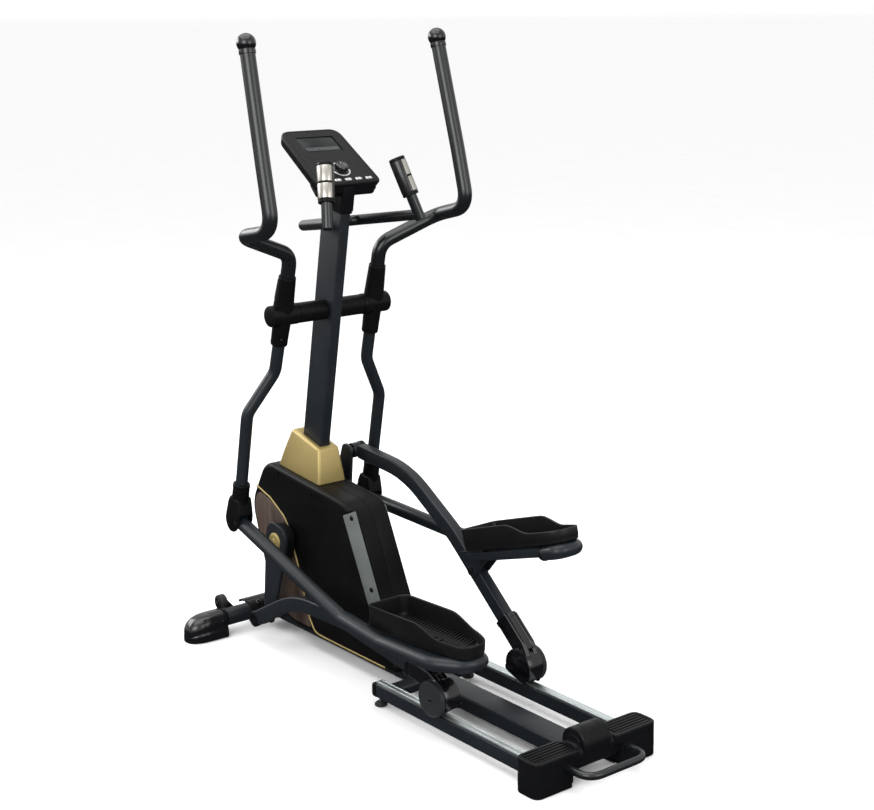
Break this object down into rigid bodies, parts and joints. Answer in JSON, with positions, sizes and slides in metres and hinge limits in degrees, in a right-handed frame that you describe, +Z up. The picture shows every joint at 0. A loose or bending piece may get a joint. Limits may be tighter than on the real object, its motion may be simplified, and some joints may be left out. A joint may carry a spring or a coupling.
{
  "type": "elliptical trainer",
  "caption": "Home elliptical trainer with a front crank under a shroud, rear rollers on rails, shoe trays, swinging arms, fixed pulse handlebar and a console.",
  "frame": {"origin": "on the floor, under the middle of the bounding box", "axes": "+X the way the user faces, towards the crank and mast; +Y the user's left; +Z up"},
  "size_m": [1.4836, 0.665, 1.6868],
  "materials": {
    "painted_steel": "satin dark blue-grey paint",
    "black_plastic": "fine-grained satin black",
    "gloss_plastic": "polished black",
    "gold_paint": "satin champagne gold",
    "walnut": "streaked walnut, satin",
    "aluminium": "brushed along its length",
    "cast_iron": "machined and oiled",
    "black_rubber": "matte",
    "grip_foam": "soft matte black",
    "screen_glass": "clear window over a grey-green display",
    "silver": "satin silver"
  },
  "bodies": {
    "frame": {"main_beam": "painted_steel", "front_stabilizer": "painted_steel", "rear_stabilizer": "black_plastic", "mast": "painted_steel", "mast_boot": "gold_paint", "crossbar": "black_plastic", "fixed_handlebar": "painted_steel", "console_case": "black_plastic", "console_screen": "screen_glass", "drive_belt": "black_rubber", "brake_magnet": "cast_iron", "front_cap_left": "black_plastic", "rail_left": "painted_steel", "rail_track_left": "aluminium", "rear_foot_left": "black_plastic", "shroud_left": "black_plastic", "wood_panel_left": "walnut", "pulse_grip_left": "grip_foam", "front_cap_right": "black_plastic", "rail_right": "painted_steel", "rail_track_right": "aluminium", "rear_foot_right": "black_plastic", "shroud_right": "black_plastic", "wood_panel_right": "walnut", "pulse_grip_right": "grip_foam"},
    "crank": {"crank_axle": "cast_iron", "drive_pulley": "black_plastic", "crank_arm_left": "painted_steel", "crank_arm_right": "painted_steel"},
    "flywheel": {"flywheel": "cast_iron"},
    "carriage_left": {"roller_axle_left": "cast_iron"},
    "roller_left": {"roller_wheel_left": "black_rubber"},
    "arm_left": {"roller_arm_left": "painted_steel", "roller_cover_left": "black_plastic"},
    "link_left": {"pedal_link_left": "painted_steel", "pedal_tray_left": "black_plastic"},
    "swing_left": {"swing_hub_left": "black_plastic", "handlebar_left": "painted_steel", "swing_tube_left": "painted_steel", "swing_knuckle_left": "black_plastic"},
    "transport_wheel_left": {"transport_wheel_left": "black_rubber"},
    "levelling_foot_left": {"levelling_foot_left": "black_rubber"},
    "carriage_right": {"roller_axle_right": "cast_iron"},
    "roller_right": {"roller_wheel_right": "black_rubber"},
    "arm_right": {"roller_arm_right": "painted_steel", "roller_cover_right": "black_plastic"},
    "link_right": {"pedal_link_right": "painted_steel", "pedal_tray_right": "black_plastic"},
    "swing_right": {"swing_hub_right": "black_plastic", "handlebar_right": "painted_steel", "swing_tube_right": "painted_steel", "swing_knuckle_right": "black_plastic"},
    "transport_wheel_right": {"transport_wheel_right": "black_rubber"},
    "levelling_foot_right": {"levelling_foot_right": "black_rubber"},
    "knob": {"console_knob": "gloss_plastic"},
    "button_1": {"console_button_1": "silver"},
    "button_2": {"console_button_2": "silver"},
    "button_3": {"console_button_3": "silver"},
    "button_4": {"console_button_4": "silver"},
    "button_5": {"console_button_5": "silver"}
  },
  "joints": [
    {"name": "crank_turn", "type": "hinge", "parent": "frame", "child": "crank", "pos_m": [0.50875, 0, 0.299], "axis": [0, 1, 0], "range_deg": [-15, 15]},
    {"name": "flywheel_spin", "type": "hinge", "parent": "frame", "child": "flywheel", "pos_m": [0.23875, 0, 0.232], "axis": [0, 1, 0], "range_deg": [-100, 100]},
    {"name": "carriage_slide_left", "type": "slide", "parent": "frame", "child": "carriage_left", "axis": [1, 0, 0], "range_m": [-0.062, 0.062]},
    {"name": "roller_spin_left", "type": "hinge", "parent": "carriage_left", "child": "roller_left", "pos_m": [-0.26501, 0.1445, 0.107], "axis": [0, 1, 0], "range_deg": [-90, 90]},
    {"name": "arm_rock_left", "type": "hinge", "parent": "carriage_left", "child": "arm_left", "pos_m": [-0.26501, 0.1445, 0.107], "axis": [0, 1, 0], "range_deg": [-1, 1]},
    {"name": "link_tilt_left", "type": "hinge", "parent": "arm_left", "child": "link_left", "pos_m": [0.00764, 0.1445, 0.1759], "axis": [0, 1, 0], "range_deg": [-0.3, 0.3]},
    {"name": "swing_left_pivot", "type": "hinge", "parent": "frame", "child": "swing_left", "pos_m": [0.38075, 0.1445, 0.96], "axis": [0, 1, 0], "range_deg": [-5.5, 5.5]},
    {"name": "transport_wheel_spin_left", "type": "hinge", "parent": "frame", "child": "transport_wheel_left", "pos_m": [0.71875, 0.167, 0.074], "axis": [0, 1, 0], "continuous": true},
    {"name": "levelling_foot_turn_left", "type": "hinge", "parent": "frame", "child": "levelling_foot_left", "pos_m": [-0.01925, 0.1445, 0.02], "axis": [0, 0, 1], "continuous": true},
    {"name": "carriage_slide_right", "type": "slide", "parent": "frame", "child": "carriage_right", "axis": [1, 0, 0], "range_m": [-0.07, 0.07]},
    {"name": "roller_spin_right", "type": "hinge", "parent": "carriage_right", "child": "roller_right", "pos_m": [-0.24717, -0.1445, 0.107], "axis": [0, 1, 0], "range_deg": [-100, 100]},
    {"name": "arm_rock_right", "type": "hinge", "parent": "carriage_right", "child": "arm_right", "pos_m": [-0.24717, -0.1445, 0.107], "axis": [0, 1, 0], "range_deg": [-1.2, 1.2]},
    {"name": "link_tilt_right", "type": "hinge", "parent": "arm_right", "child": "link_right", "pos_m": [-0.05866, -0.1445, 0.31568], "axis": [0, 1, 0], "range_deg": [-0.1, 0.1]},
    {"name": "swing_right_pivot", "type": "hinge", "parent": "frame", "child": "swing_right", "pos_m": [0.38075, -0.1445, 0.96], "axis": [0, 1, 0], "range_deg": [-6.3, 6.3]},
    {"name": "transport_wheel_spin_right", "type": "hinge", "parent": "frame", "child": "transport_wheel_right", "pos_m": [0.71875, -0.167, 0.074], "axis": [0, 1, 0], "continuous": true},
    {"name": "levelling_foot_turn_right", "type": "hinge", "parent": "frame", "child": "levelling_foot_right", "pos_m": [-0.01925, -0.1445, 0.02], "axis": [0, 0, 1], "continuous": true},
    {"name": "knob_turn", "type": "hinge", "parent": "frame", "child": "knob", "pos_m": [0.31389, 0, 1.33199], "axis": [-0.5519, 0, 0.8339], "continuous": true},
    {"name": "button_1_press", "type": "slide", "parent": "frame", "child": "button_1", "axis": [0.5519, 0, -0.8339], "range_m": [0, 0.0015], "stiffness_N_per_m": 400, "springref_m": -0.001},
    {"name": "button_2_press", "type": "slide", "parent": "frame", "child": "button_2", "axis": [0.5519, 0, -0.8339], "range_m": [0, 0.0015], "stiffness_N_per_m": 400, "springref_m": -0.001},
    {"name": "button_3_press", "type": "slide", "parent": "frame", "child": "button_3", "axis": [0.5519, 0, -0.8339], "range_m": [0, 0.0015], "stiffness_N_per_m": 400, "springref_m": -0.001},
    {"name": "button_4_press", "type": "slide", "parent": "frame", "child": "button_4", "axis": [0.5519, 0, -0.8339], "range_m": [0, 0.0015], "stiffness_N_per_m": 400, "springref_m": -0.001},
    {"name": "button_5_press", "type": "slide", "parent": "frame", "child": "button_5", "axis": [0.5519, 0, -0.8339], "range_m": [0, 0.0015], "stiffness_N_per_m": 400, "springref_m": -0.001}
  ],
  "couplings": [
    {"joint": "flywheel_spin", "follows": "crank_turn", "ratio": 6.5},
    {"joint": "carriage_slide_left", "follows": "crank_turn", "m_per_rad": -0.2281},
    {"joint": "roller_spin_left", "follows": "crank_turn", "ratio": -5.5364},
    {"joint": "arm_rock_left", "follows": "crank_turn", "ratio": 0.0594},
    {"joint": "link_tilt_left", "follows": "crank_turn", "ratio": 0.0148},
    {"joint": "swing_left_pivot", "follows": "crank_turn", "ratio": 0.3583},
    {"joint": "carriage_slide_right", "follows": "crank_turn", "m_per_rad": 0.259},
    {"joint": "roller_spin_right", "follows": "crank_turn", "ratio": 6.2864},
    {"joint": "arm_rock_right", "follows": "crank_turn", "ratio": -0.0689},
    {"joint": "link_tilt_right", "follows": "crank_turn", "ratio": 0.0026},
    {"joint": "swing_right_pivot", "follows": "crank_turn", "ratio": -0.4081}
  ]
}
